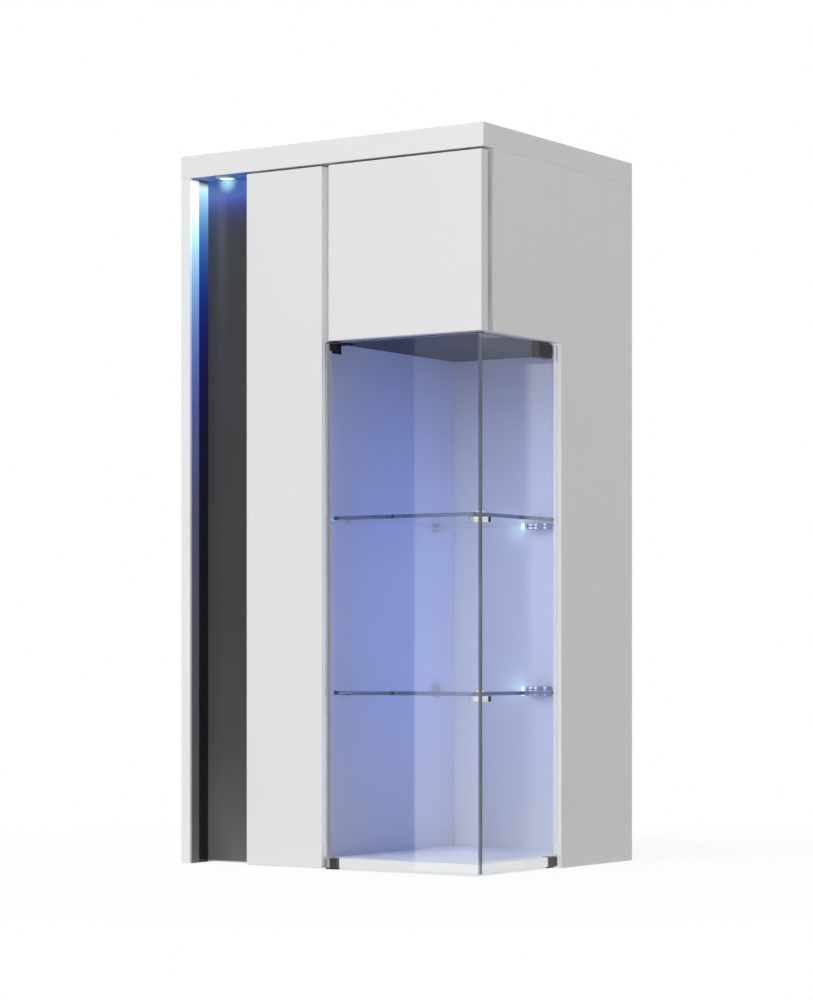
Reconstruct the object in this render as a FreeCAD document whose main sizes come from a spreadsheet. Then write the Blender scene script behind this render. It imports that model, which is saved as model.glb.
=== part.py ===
import FreeCAD, Part
import os
import re
import Sketcher

doc = FreeCAD.newDocument("WallUnit")
sheet = doc.addObject("Spreadsheet::Sheet", "Sizes")

# Driving sizes in millimetres
sizes = {
    # Whole unit and its boards
    "width": 505,
    "depth": 402,
    "height": 1000,
    "board": 16,
    "top_thickness": 32,
    "edge_radius": 0.5,
    "back_thickness": 3,
    "back_recess": 59,
    # Doors and the gaps round them
    "door_thickness": 16,
    "door_radius": 1,
    "door_gap": 3,
    "floor_gap": 2,
    "carcass_setback": 9,
    "side_inset": 3,
    "groove": 11,
    "narrow_door_width": 128,
    "upper_door_height": 241,
    # Light niche
    "niche_width": 99,
    "niche_depth": 40,
    "niche_base": 3,
    "liner_thickness": 3,
    "liner_depth": 17,
    "trim_thickness": 1.5,
    "light_setback": 20,
    "light_flange_radius": 16,
    "light_flange_thickness": 2.5,
    "light_body_radius": 13,
    "light_body_depth": 10,
    "light_lens_radius": 11,
    "light_lens_depth": 2,
    "light_lens_drop": 0.6,
    # Driver of the lights
    "driver_thickness": 22,
    "driver_depth": 44,
    "driver_height": 130,
    "driver_setback": 90,
    "driver_drop": 60,
    "driver_radius": 2,
    "socket_width": 10,
    "socket_depth": 8,
    "socket_margin": 8,
    # Glazed corner
    "side_opening": 203,
    "glass_inset": 6,
    "glass": 5,
    "glass_radius": 0.4,
    "glass_base": 3,
    "glass_overlap": 5,
    "pane_gap": 1,
    "glass_floor_gap": 2,
    # Clamps that hold the side pane at its rear corners
    "clamp_thickness": 12,
    "top_clamp_length": 36,
    "top_clamp_height": 22,
    "top_clamp_setback": 11,
    "bottom_clamp_length": 22,
    "bottom_clamp_height": 16,
    "clamp_base": 0.5,
    "clamp_clearance": 2,
    # Pivots of the glass door
    "pivot_inset": 6,
    "pivot_setback": 6,
    "pivot_radius": 2,
    "pivot_length": 9,
    "shoe_half_width": 6,
    "shoe_depth": 11,
    "bottom_shoe_height": 13,
    "top_shoe_height": 10,
    "bracket_thickness": 2,
    "bracket_gap": 0.5,
    "bracket_length": 20,
    "bracket_height": 14,
    "bracket_setback": 2,
    "bracket_reach": 5,
    "bracket_door_gap": 3,
    "hinge_notch_width": 26,
    "hinge_notch_gap": 3,
    "tail_clearance": 5,
    "running_clearance": 0.05,
    # Glass shelves and what carries them
    "lower_shelf_height": 240,
    "upper_shelf_height": 479,
    "shelf_clearance": 1,
    "shelf_front_gap": 3,
    "shelf_back_gap": 8,
    "disc_radius": 14,
    "disc_flat": 13.5,
    "disc_height": 9,
    "disc_setback": 23,
    "button_radius": 4.5,
    "button_height": 4,
    "stud_radius": 3,
    "stud_clearance": 0.5,
    "rest_width": 13,
    "rest_reach": 12,
    "rest_grip": 6.5,
    "rest_setback": 43,
    "pad_width": 6,
    "pad_reach": 9,
    "pad_height": 3,
    "pad_setback": 35,
    # Clip-on lights at the back edge of the glass shelves
    "clip_length": 38,
    "clip_lens_length": 5,
    "clip_inset": 97,
    "clip_grip": 10,
    "clip_back": 4,
    "clip_jaw": 4.5,
    # Cupboard shelves and their pins
    "lower_board_height": 300,
    "upper_board_height": 630,
    "board_shelf_setback": 5,
    "pin_inset": 40,
    "shelf_pin_radius": 2.5,
    "shelf_pin_depth": 8,
    "shelf_pin_reach": 7,
    # Rails behind the back panel and their wall screws
    "rail_height": 80,
    "lower_rail_base": 20,
    "wall_screw_radius": 4,
    "wall_screw_inset": 44,
    "wall_screw_spacing": 266,
    "access_radius": 9,
    "cap_radius": 12,
    "cap_thickness": 1.5,
    "cap_clearance": 0.1,
    # Concealed hinges of the white doors
    "hinge_margin": 60,
    "hinge_inset": 10,
    "hinge_depth": 8,
    "cup_radius": 17.5,
    "cup_depth": 12.5,
    "cup_wall": 1,
    "cup_edge": 4,
    "cup_clearance": 0.1,
    "flange_width": 14,
    "flange_height": 60,
    "flange_thickness": 1,
    "flange_screw_spacing": 50,
    "hinge_pin_radius": 1.5,
    "hinge_pin_length": 23,
    "knuckle_radius": 3,
    "arm_thickness": 3,
    "arm_height": 12,
    "crank_reach": 20,
    "crank_setback": 9,
    "tail_thickness": 4,
    "plate_thickness": 3,
    "plate_length": 40,
    "plate_height": 40,
    "plate_setback": 15,
    "plate_screw_spacing": 28,
    "screw_radius": 2,
    "screw_length": 11,
    "screw_head_radius": 3.5,
    "screw_head_height": 1.5,
    # Glued dowels in the joints of the boards
    "dowel_radius": 4,
    "dowel_length": 30,
    "dowel_end_depth": 19,
    "dowel_clearance": 0.1,
    "dowel_inset": 40,
    "dowel_stagger": 32,
    "rail_dowel_spacing": 40,
}

# Planes and axes worked out from the driving sizes: x grows to the right, y to the wall
planes = {
    "left": "-width / 2",
    "right": "width / 2",
    "front": "-depth / 2",
    "rear": "depth / 2",
    "under_top": "height - top_thickness",
    "left_inner": "left + board",
    "niche_right": "left_inner + niche_width",
    "niche_middle": "left_inner + niche_width / 2",
    "bay_inner": "niche_right + board",
    "driver_middle": "niche_right - driver_thickness / 2",
    "narrow_door_right": "niche_right + narrow_door_width",
    "partition_left": "narrow_door_right - board",
    "upper_door_left": "narrow_door_right + groove",
    "door_right": "right - side_inset",
    "side_inner": "right - board",
    "door_back": "front + door_thickness",
    "hinge_y": "door_back - hinge_depth",
    "carcass_front": "door_back + carcass_setback",
    "niche_face": "front + niche_depth",
    "niche_back": "niche_face + board",
    "back_outer": "rear - back_recess",
    "back_face": "back_outer - back_thickness",
    "side_split": "front + side_opening",
    "door_top": "under_top - door_gap",
    "upper_door_bottom": "door_top - upper_door_height",
    "glass_top": "upper_door_bottom - door_gap",
    "glass_left": "upper_door_left - glass_overlap",
    "glass_back": "front + glass",
    "glass_right": "right - glass_inset",
    "pane_inner": "glass_right - glass",
    "floor_front": "glass_back + glass_floor_gap",
    "pivot_x": "upper_door_left + pivot_inset",
    "pivot_y": "glass_back + pivot_setback",
    "bracket_front": "carcass_front + bracket_setback",
    "bracket_left": "narrow_door_right + bracket_door_gap",
    "clamp_back": "pane_inner - clamp_thickness",
    "shelf_front": "glass_back + shelf_front_gap",
    "shelf_back": "back_face - shelf_back_gap",
    "shelf_right": "side_inner - shelf_clearance",
    "disc_x": "pane_inner - disc_flat",
    "disc_y": "glass_back + disc_setback",
    "clip_right": "right - clip_inset",
    "clip_left": "clip_right - clip_length",
    "wall_screw_z": "under_top - rail_height / 2",
    "wall_screw_right": "side_inner - wall_screw_inset",
    "crank_back": "carcass_front + crank_setback",
    "plate_front": "carcass_front + plate_setback",
    "plate_back": "plate_front + plate_length",
}

for row, (alias, value) in enumerate(sizes.items(), 1):
    sheet.set(f"A{row}", alias)
    sheet.set(f"B{row}", str(value))
    sheet.setAlias(f"B{row}", alias)
doc.recompute()

parts = []


def formula(text):
    # Spells a sum of sizes and planes as an expression on the sheet's cells
    def spell(match):
        name = match.group()
        if name in planes:
            return f"({formula(planes[name])})"
        return f"Sizes.{name}"
    return re.sub(r"[a-z]\w*", spell, text)


def bind(item, values):
    for name, text in values.items():
        item.setExpression(name, formula(text))


def seat(item, x, y, z):
    bind(item, {"Placement.Base.x": x, "Placement.Base.y": y, "Placement.Base.z": z})


def keep(label, item):
    # Marks a finished sub-part
    item.Label = label
    parts.append(item)
    return item


def box(x, y, z):
    # A square block between a low and a high plane on each axis
    item = doc.addObject("Part::Box", "block")
    bind(item, {
        "Length": f"({x[1]}) - ({x[0]})",
        "Width": f"({y[1]}) - ({y[0]})",
        "Height": f"({z[1]}) - ({z[0]})",
    })
    seat(item, x[0], y[0], z[0])
    return item


turns = {
    "x": FreeCAD.Rotation(FreeCAD.Vector(0, 1, 0), 90),
    "y": FreeCAD.Rotation(FreeCAD.Vector(1, 0, 0), -90),
    "z": FreeCAD.Rotation(),
}


def rod(axis, radius, length, x, y, z):
    # A round bar that runs from its start point along the axis
    item = doc.addObject("Part::Cylinder", "rod")
    item.Placement = FreeCAD.Placement(FreeCAD.Vector(), turns[axis])
    bind(item, {"Radius": radius, "Height": length})
    seat(item, x, y, z)
    return item


def cut(base, *tools):
    for tool in tools:
        item = doc.addObject("Part::Cut", "cut")
        item.Base = base
        item.Tool = tool
        base = item
    return base


def fuse(*pieces):
    item = doc.addObject("Part::MultiFuse", "fuse")
    item.Shapes = list(pieces)
    return item


def group(pieces):
    # Separate solids that share one node
    item = doc.addObject("Part::Compound", "group")
    item.Links = list(pieces)
    return item


def panel(x, y, z, radius="edge_radius"):
    # A board or pane with its edges eased: a rectangle, padded and rounded
    body = doc.addObject("PartDesign::Body", "panel")
    sketch = body.newObject("Sketcher::SketchObject", "outline")
    plane = next(item for item in body.Origin.OriginFeatures if item.Role == "XY_Plane")
    sketch.AttachmentSupport = (plane, [""])
    sketch.MapMode = "FlatFace"
    corners = [FreeCAD.Vector(*point, 0) for point in ((0, 0), (1, 0), (1, 1), (0, 1))]
    for index, corner in enumerate(corners):
        sketch.addGeometry(Part.LineSegment(corner, corners[(index + 1) % 4]), False)
    for index, direction in enumerate(("Horizontal", "Vertical", "Horizontal", "Vertical")):
        sketch.addConstraint(Sketcher.Constraint("Coincident", index, 2, (index + 1) % 4, 1))
        sketch.addConstraint(Sketcher.Constraint(direction, index))
    sketch.addConstraint(Sketcher.Constraint("Coincident", 0, 1, -1, 1))
    across = sketch.addConstraint(Sketcher.Constraint("DistanceX", 0, 1, 0, 2, 1))
    sketch.renameConstraint(across, "across")
    back = sketch.addConstraint(Sketcher.Constraint("DistanceY", 1, 1, 1, 2, 1))
    sketch.renameConstraint(back, "back")
    bind(sketch, {
        "Constraints.across": f"({x[1]}) - ({x[0]})",
        "Constraints.back": f"({y[1]}) - ({y[0]})",
    })
    pad = body.newObject("PartDesign::Pad", "thickness")
    pad.Profile = sketch
    bind(pad, {"Length": f"({z[1]}) - ({z[0]})"})
    doc.recompute()
    edges = body.newObject("PartDesign::Fillet", "eased_edges")
    edges.Base = (pad, ["Edge1"])
    edges.UseAllEdges = True
    bind(edges, {"Radius": radius})
    body.Tip = edges
    seat(body, x[0], y[0], z[0])
    return body


def inward(start, side, near, far):
    # The span from near to far, measured inward from a plane on the hinge side
    if side == "left":
        return (f"{start} + {near}", f"{start} + {far}")
    return (f"{start} - ({far})", f"{start} - ({near})")


def moved_back(point, axis, distance):
    return [f"{value} - ({distance})" if name == axis else value for name, value in zip("xyz", point)]


def screw(axis, sign, *point):
    # A screw whose head sits at the point given and whose shank runs along the axis
    head_at = moved_back(point, axis, "screw_head_height" if sign > 0 else "0")
    shank_at = moved_back(point, axis, "0" if sign > 0 else "screw_length")
    head = rod(axis, "screw_head_radius", "screw_head_height", *head_at)
    shank = rod(axis, "screw_radius", "screw_length", *shank_at)
    return fuse(head, shank)


dowels = []
dowel_holes = {}


def dowel(axis, low_board, high_board, end_board, *point):
    # A dowel across a joint, deeper in the board that is drilled in its end than in the other's face
    low_depth = "dowel_end_depth" if end_board == low_board else "dowel_length - dowel_end_depth"
    start = moved_back(point, axis, low_depth)
    dowels.append(rod(axis, "dowel_radius", "dowel_length", *start))
    hole = rod(axis, "dowel_radius + dowel_clearance", "dowel_length + 2 * dowel_clearance",
               *moved_back(start, axis, "dowel_clearance"))
    for name in (low_board, high_board):
        dowel_holes.setdefault(name, []).append(hole)


def keep_board(name, piece, *tools):
    # A finished board, drilled for its dowels
    return keep(name, cut(piece, *tools, group(dowel_holes[name])))


def concealed_hinges(door, side, edge, face, heights):
    # Cups in the door, pins through them, cranked arms and the plates that hold the arms on the carcass
    sign = "+" if side == "left" else "-"
    axis_x = f"{edge} {sign} hinge_inset"
    cup_x = f"{edge} {sign} (cup_edge + cup_radius)"
    crank = inward(axis_x, side, "crank_reach - arm_thickness", "crank_reach")
    crank_end = f"{axis_x} {sign} crank_reach"
    plate_inner = f"{face} {sign} plate_thickness"
    tail = inward(plate_inner, side, "0", "tail_thickness")
    across = (plate_inner, crank_end) if side == "left" else (crank_end, plate_inner)
    reach = (axis_x, crank_end) if side == "left" else (crank_end, axis_x)
    found = {name: [] for name in ("cups", "pins", "arms", "plates", "cup_screws", "plate_screws", "bores")}
    for height in heights:
        arm_z = (f"{height} - arm_height / 2", f"{height} + arm_height / 2")
        crank_y = ("crank_back - arm_thickness", "crank_back")
        pin = rod("z", "hinge_pin_radius", "hinge_pin_length",
                  axis_x, "hinge_y", f"{height} - hinge_pin_length / 2")
        shell = rod("y", "cup_radius", "cup_depth", cup_x, "door_back - cup_depth", height)
        flange = box(
            (f"{cup_x} - flange_width / 2", f"{cup_x} + flange_width / 2"),
            ("door_back", "door_back + flange_thickness"),
            (f"{height} - flange_height / 2", f"{height} + flange_height / 2"),
        )
        hollow = rod("y", "cup_radius - cup_wall", "cup_depth + flange_thickness",
                     cup_x, "door_back - cup_depth + cup_wall", height)
        cup_screws = [
            screw("y", -1, cup_x, "door_back + flange_thickness", f"{height} {way} flange_screw_spacing / 2")
            for way in "-+"
        ]
        cup = cut(fuse(shell, flange), hollow, pin, *cup_screws)
        bore = rod("y", "cup_radius + cup_clearance", "cup_depth + cup_clearance",
                   cup_x, "door_back - cup_depth - cup_clearance", height)
        knuckle = rod("z", "knuckle_radius", "arm_height", axis_x, "hinge_y", arm_z[0])
        eye = rod("z", "hinge_pin_radius + running_clearance", "arm_height", axis_x, "hinge_y", arm_z[0])
        arm = fuse(
            knuckle,
            box(reach, ("hinge_y - arm_thickness / 2", "hinge_y + arm_thickness / 2"), arm_z),
            box(crank, ("hinge_y - arm_thickness / 2", "crank_back"), arm_z),
            box(across, crank_y, arm_z),
            box(tail, (crank_y[0], "plate_back"), arm_z),
        )
        plate_screws = [
            screw("x", -1 if side == "left" else 1, plate_inner, "(plate_front + plate_back) / 2",
                  f"{height} {way} plate_screw_spacing / 2")
            for way in "-+"
        ]
        plate = cut(
            box(
                inward(face, side, "0", "plate_thickness"),
                ("plate_front", "plate_back"),
                (f"{height} - plate_height / 2", f"{height} + plate_height / 2"),
            ),
            *plate_screws,
        )
        found["cups"].append(cup)
        found["pins"].append(pin)
        found["arms"].append(cut(arm, eye))
        found["plates"].append(plate)
        found["cup_screws"].extend(cup_screws)
        found["plate_screws"].extend(plate_screws)
        found["bores"].append(bore)
    for name in ("cups", "pins", "arms", "plates", "cup_screws", "plate_screws"):
        keep(f"{door}_hinge_{name}", group(found[name]))
    return found


# Dowels between the top panel and the upright boards
inner_y = ("carcass_front + dowel_inset", "back_face - dowel_inset")
staggered_y = ("carcass_front + dowel_inset + dowel_stagger", "back_face - dowel_inset - dowel_stagger")
for name, x, rows in (
    ("left_side_panel", "left + board / 2", ("front + dowel_inset", "rear - dowel_inset")),
    ("niche_partition", "niche_right + board / 2", inner_y),
    ("display_partition", "narrow_door_right - board / 2", inner_y),
    ("upper_side_panel", "right - board / 2", ("carcass_front + dowel_inset", "side_split - dowel_inset")),
    ("rear_side_panel", "right - board / 2", ("side_split + dowel_inset", "rear - dowel_inset")),
):
    for y in rows:
        dowel("z", name, "top_panel", name, x, y, "under_top")

# Dowels at the ends of the level boards, staggered where two meet on either face of one partition
ceiling_z = "upper_door_bottom + board / 2"
for low_board, high_board, end_board, x, z, rows in (
    ("left_side_panel", "light_bay_floor", "light_bay_floor", "left_inner", "board / 2", staggered_y),
    ("light_bay_floor", "niche_partition", "light_bay_floor", "niche_right", "board / 2", staggered_y),
    ("niche_partition", "cupboard_floor", "cupboard_floor", "bay_inner", "board / 2", inner_y),
    ("cupboard_floor", "display_partition", "cupboard_floor", "partition_left", "board / 2", inner_y),
    ("display_partition", "display_floor", "display_floor", "narrow_door_right", "board / 2", staggered_y),
    ("display_floor", "rear_side_panel", "display_floor", "side_inner", "board / 2",
     ("side_split + dowel_inset", inner_y[1])),
    ("display_partition", "display_ceiling", "display_ceiling", "narrow_door_right", ceiling_z, inner_y),
    ("display_ceiling", "upper_side_panel", "display_ceiling", "side_inner", ceiling_z, inner_y[:1]),
    ("display_ceiling", "rear_side_panel", "display_ceiling", "side_inner", ceiling_z, inner_y[1:]),
):
    for y in rows:
        dowel("x", low_board, high_board, end_board, x, y, z)

# Dowels of the niche back panel, of the wall rails and between the two parts of the right side
niche_back_y = "(niche_face + niche_back) / 2"
rail_mid_y = "rear - board / 2"
for z in ("niche_base + dowel_inset", "(niche_base + under_top) / 2", "under_top - dowel_inset"):
    dowel("x", "left_side_panel", "niche_back_panel", "niche_back_panel", "left_inner", niche_back_y, z)
    dowel("x", "niche_back_panel", "niche_partition", "niche_back_panel", "niche_right", niche_back_y, z)
for rail, base in (("upper_wall_rail", "under_top - rail_height"), ("lower_wall_rail", "lower_rail_base")):
    for way in "-+":
        z = f"{base} + rail_height / 2 {way} rail_dowel_spacing / 2"
        dowel("x", "left_side_panel", rail, rail, "left_inner", rail_mid_y, z)
        dowel("x", rail, "rear_side_panel", rail, "side_inner", rail_mid_y, z)
for z in ("upper_door_bottom + dowel_inset", "under_top - dowel_inset"):
    dowel("y", "upper_side_panel", "rear_side_panel", "upper_side_panel",
          "right - board / 2", "side_split", z)
keep("carcass_dowels", group(dowels))

# Niche light, let into the underside of the top panel
light_at = ("niche_middle", "front + light_setback")
light_flange = rod("z", "light_flange_radius", "light_flange_thickness",
                   *light_at, "under_top - light_flange_thickness")
light_body = rod("z", "light_body_radius", "light_body_depth", *light_at, "under_top")
light_lens = rod("z", "light_lens_radius", "light_lens_depth + light_lens_drop",
                 *light_at, "under_top - light_flange_thickness - light_lens_drop")
keep("niche_light_bezel", cut(fuse(light_flange, light_body), light_lens))
keep("niche_light_lens", light_lens)

# Top panel, with the recess for the niche light
top_board = panel(("left", "right"), ("front", "rear"), ("under_top", "height"))
keep_board("top_panel", top_board, light_body)

# Hinges of the two white doors
narrow_hinges = concealed_hinges("narrow_door", "left", "niche_right", "bay_inner", (
    "(floor_gap + hinge_margin)",
    "((floor_gap + door_top) / 2)",
    "(door_top - hinge_margin)",
))
upper_hinges = concealed_hinges("upper_door", "right", "door_right", "side_inner", (
    "(upper_door_bottom + hinge_margin)",
    "(door_top - hinge_margin)",
))

# White doors, bored for the hinge cups
narrow_board = panel(
    ("niche_right", "narrow_door_right"), ("front", "door_back"), ("floor_gap", "door_top"), "door_radius")
keep("narrow_door", cut(narrow_board, *narrow_hinges["bores"], *narrow_hinges["cup_screws"]))
upper_board = panel(
    ("upper_door_left", "door_right"), ("front", "door_back"),
    ("upper_door_bottom", "door_top"), "door_radius")
keep("upper_door", cut(upper_board, *upper_hinges["bores"], *upper_hinges["cup_screws"]))

# Cupboard shelves on round pins
shelf_x = ("bay_inner + shelf_clearance", "partition_left - shelf_clearance")
shelf_y = ("carcass_front + board_shelf_setback", "back_face - board_shelf_setback")
bay_pins = []
partition_pins = []
for name, height in (("lower", "lower_board_height"), ("upper", "upper_board_height")):
    keep(f"{name}_cupboard_shelf", panel(shelf_x, shelf_y, (height, f"{height} + board")))
    for pin_y in (f"{shelf_y[0]} + pin_inset", f"{shelf_y[1]} - pin_inset"):
        pin_size = ("shelf_pin_radius", "shelf_pin_depth + shelf_pin_reach")
        pin_z = f"{height} - shelf_pin_radius"
        bay_pins.append(rod("x", *pin_size, "bay_inner - shelf_pin_depth", pin_y, pin_z))
        partition_pins.append(rod("x", *pin_size, "partition_left - shelf_pin_reach", pin_y, pin_z))
keep("cupboard_shelf_pins", group(bay_pins + partition_pins))

# Upright boards
upright = ("0", "under_top")
keep_board("left_side_panel", panel(("left", "left_inner"), ("front", "rear"), upright))
keep_board("rear_side_panel", panel(("side_inner", "right"), ("side_split", "rear"), upright))
upper_side = panel(
    ("side_inner", "right"), ("carcass_front", "side_split"), ("upper_door_bottom", "under_top"))
keep_board("upper_side_panel", upper_side, *upper_hinges["plate_screws"])
partition = panel(("partition_left", "narrow_door_right"), ("carcass_front", "back_face"), upright)
keep_board("display_partition", partition, *partition_pins)
bay_board = panel(("niche_right", "bay_inner"), ("carcass_front", "back_face"), upright)
keep_board("niche_partition", bay_board, *bay_pins, *narrow_hinges["plate_screws"])

# Light niche
keep_board("niche_back_panel", panel(
    ("left_inner", "niche_right"), ("niche_face", "niche_back"), ("niche_base", "under_top")))
keep("niche_cheek_liner", panel(
    ("left_inner", "left_inner + liner_thickness"), ("front", "front + liner_depth"), upright))
keep("niche_corner_trim", box(
    ("left_inner", "left_inner + trim_thickness"), ("front + liner_depth", "niche_face"), upright))

# Driver of the lights, on the hidden face of the niche partition
driver_y = ("niche_back + driver_setback", "niche_back + driver_setback + driver_depth")
driver_z = ("under_top - driver_drop - driver_height", "under_top - driver_drop")
driver_case = panel(("niche_right - driver_thickness", "niche_right"), driver_y, driver_z, "driver_radius")
sockets = [
    box(
        ("driver_middle - socket_width / 2", "driver_middle + socket_width / 2"),
        (near, far),
        (f"{driver_z[1]} - socket_depth", driver_z[1]),
    )
    for near, far in (
        (f"{driver_y[0]} + socket_margin", f"{driver_y[0]} + socket_margin + socket_width"),
        (f"{driver_y[1]} - socket_margin - socket_width", f"{driver_y[1]} - socket_margin"),
    )
]
keep("light_driver", cut(driver_case, *sockets))

# Level boards
floor_z = ("0", "board")
keep_board("cupboard_floor", panel(("bay_inner", "partition_left"), ("carcass_front", "back_face"), floor_z))
keep_board("light_bay_floor", panel(("left_inner", "niche_right"), ("niche_back", "back_face"), floor_z))
keep_board("display_ceiling", panel(
    ("narrow_door_right", "side_inner"), ("carcass_front", "back_face"),
    ("upper_door_bottom", "upper_door_bottom + board")))
display_board = panel(("narrow_door_right", "pane_inner"), ("floor_front", "back_face"), floor_z)
hinge_notch = box(
    ("narrow_door_right", "narrow_door_right + hinge_notch_width"),
    ("floor_front", "bracket_front + hinge_notch_gap"), floor_z)
clamp_notch = box(
    ("clamp_back - clamp_clearance", "pane_inner"),
    ("side_split - bottom_clamp_length - clamp_clearance", "side_split"), floor_z)
side_notch = box(("side_inner", "pane_inner"), ("side_split", "back_face"), floor_z)
leaf_x = ("narrow_door_right", "pivot_x + bracket_reach")
leaf_y = ("bracket_front", "bracket_front + bracket_length")
lower_leaf_z = ("bracket_gap", "bracket_gap + bracket_thickness")
leaf_recess = box(leaf_x, leaf_y, ("0", lower_leaf_z[1]))
keep_board("display_floor", display_board, hinge_notch, clamp_notch, side_notch, leaf_recess)

# Back panel with plugged access holes, and the rails that carry the unit on the wall
wall_screws = ("wall_screw_right", "wall_screw_right - wall_screw_spacing")
inside = ("left_inner", "side_inner")
rail_y = ("rear - board", "rear")
back_board = box(inside, ("back_face", "back_outer"), upright)
keep("back_panel", cut(back_board, *[
    rod("y", "access_radius", "back_thickness", x, "back_face", "wall_screw_z") for x in wall_screws]))
keep("access_caps", group([
    fuse(
        rod("y", "cap_radius", "cap_thickness", x, "back_face - cap_thickness", "wall_screw_z"),
        rod("y", "access_radius - cap_clearance", "back_thickness", x, "back_face", "wall_screw_z"),
    )
    for x in wall_screws]))
upper_rail = panel(inside, rail_y, ("under_top - rail_height", "under_top"))
keep_board("upper_wall_rail", upper_rail, *[
    rod("y", "wall_screw_radius", "board", x, "rear - board", "wall_screw_z") for x in wall_screws])
keep_board("lower_wall_rail", panel(inside, rail_y, ("lower_rail_base", "lower_rail_base + rail_height")))

# Glass door with its hinge shoes, and the pivot brackets on the carcass
keep("glass_door", panel(
    ("glass_left", "glass_right"), ("front", "glass_back"), ("glass_base", "glass_top"), "glass_radius"))
shoe_x = ("pivot_x - shoe_half_width", "pivot_x + shoe_half_width")
shoe_y = ("glass_back", "glass_back + shoe_depth")
upper_leaf_z = ("upper_door_bottom - bracket_gap - bracket_thickness", "upper_door_bottom - bracket_gap")
upper_plate = box(
    ("narrow_door_right", "narrow_door_right + bracket_thickness"), leaf_y,
    ("upper_door_bottom - bracket_height", "upper_door_bottom"))
shoes = []
brackets = []
for shoe_z, leaf_z, pin_z, plates in (
    (("glass_base", "glass_base + bottom_shoe_height"), lower_leaf_z, lower_leaf_z[1], []),
    (("glass_top - top_shoe_height", "glass_top"), upper_leaf_z, f"{upper_leaf_z[0]} - pivot_length",
     [upper_plate]),
):
    hole = rod("z", "pivot_radius + running_clearance", f"({shoe_z[1]}) - ({shoe_z[0]})",
               "pivot_x", "pivot_y", shoe_z[0])
    shoes.append(cut(box(shoe_x, shoe_y, shoe_z), hole))
    leaf = box(leaf_x, leaf_y, leaf_z)
    tongue = box(("bracket_left", leaf_x[1]), ("pivot_y - bracket_reach", "bracket_front"), leaf_z)
    pivot = rod("z", "pivot_radius", "pivot_length", "pivot_x", "pivot_y", pin_z)
    brackets.append(fuse(leaf, tongue, pivot, *plates))
keep("glass_door_shoes", group(shoes))
keep("glass_door_brackets", group(brackets))

# Fixed side pane and its clamps
keep("side_pane", panel(
    ("pane_inner", "glass_right"), ("glass_back + pane_gap", "side_split - pane_gap"),
    ("glass_base", "glass_top"), "glass_radius"))
top_clamp_end = "side_split - top_clamp_setback"
keep("side_pane_top_clamp", panel(
    ("clamp_back", "pane_inner"), (f"{top_clamp_end} - top_clamp_length", top_clamp_end),
    ("upper_door_bottom - top_clamp_height", "upper_door_bottom")))
keep("side_pane_bottom_clamp", panel(
    ("clamp_back", "pane_inner"), ("side_split - bottom_clamp_length", "side_split"),
    ("clamp_base", "clamp_base + bottom_clamp_height")))

# Glass shelves with their discs, buttons, rests and lights
discs = []
buttons = []
rests = []
clips = []
lenses = []
for name, height in (("lower", "lower_shelf_height"), ("upper", "upper_shelf_height")):
    glass_z = (height, f"{height} + glass")
    sheet_blank = panel(
        ("narrow_door_right + shelf_clearance", "shelf_right"), ("shelf_front", "shelf_back"),
        glass_z, "glass_radius")
    door_tail_notch = box(
        ("narrow_door_right", "pivot_x - pivot_setback + tail_clearance"),
        ("shelf_front", "pivot_y + pivot_x - glass_left + tail_clearance"), glass_z)
    stud_hole = rod("z", "stud_radius + stud_clearance", "glass", "disc_x", "disc_y", height)
    keep(f"{name}_glass_shelf", cut(sheet_blank, door_tail_notch, stud_hole))
    disc = rod("z", "disc_radius", "disc_height", "disc_x", "disc_y", f"{height} - disc_height")
    beyond_pane = box(
        ("pane_inner", "disc_x + disc_radius"), ("disc_y - disc_radius", "disc_y + disc_radius"),
        (f"{height} - disc_height", height))
    stud = rod("z", "stud_radius", "disc_height / 2 + glass",
               "disc_x", "disc_y", f"{height} - disc_height / 2")
    button = rod("z", "button_radius", "button_height", "disc_x", "disc_y", f"{height} + glass")
    discs.append(cut(disc, beyond_pane, stud))
    buttons.append(fuse(stud, button))
    rest_y = ("back_face - rest_setback - rest_width", "back_face - rest_setback")
    for side, wall in (("left", "narrow_door_right"), ("right", "side_inner")):
        rests.append(cut(
            box(inward(wall, side, "0", "rest_reach"), rest_y,
                (f"{height} - rest_grip", f"{height} + glass + rest_grip")),
            box(inward(wall, side, "shelf_clearance", "rest_reach"), rest_y, glass_z),
        ))
    pad_y = ("carcass_front + pad_setback", "carcass_front + pad_setback + pad_width")
    rests.append(box(inward("narrow_door_right", "left", "0", "pad_reach"), pad_y,
                     (f"{height} - pad_height", height)))
    clip_y = ("shelf_back - clip_grip", "shelf_back + clip_back")
    clip_z = (f"{height} - clip_jaw", f"{height} + glass + clip_jaw")
    slot_y = ("shelf_back - clip_grip", "shelf_back")
    for found, span in (
        (clips, ("clip_left", "clip_right")),
        (lenses, ("clip_left - clip_lens_length", "clip_left")),
    ):
        found.append(cut(box(span, clip_y, clip_z), box(span, slot_y, glass_z)))
keep("shelf_corner_discs", group(discs))
keep("shelf_corner_buttons", group(buttons))
keep("glass_shelf_rests", group(rests))
keep("shelf_light_clips", group(clips))
keep("shelf_light_lenses", group(lenses))

doc.recompute()
for item in doc.Objects:
    if "Invalid" in item.State or "Error" in item.State:
        raise RuntimeError(f"{item.Name} {item.Label} failed to build: {item.State}")
for item in parts:
    if item.Shape.isNull() or not item.Shape.isValid() or not item.Shape.Solids:
        raise RuntimeError(f"{item.Label} has no valid shape")

os.makedirs("parts", exist_ok=True)
for item in parts:
    item.Shape.exportStep(f"parts/{item.Label}.step")
    print(item.Label, len(item.Shape.Solids), round(item.Shape.Volume, 1))
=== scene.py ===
import bmesh
import bpy
import math
from mathutils import Matrix, Vector


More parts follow.
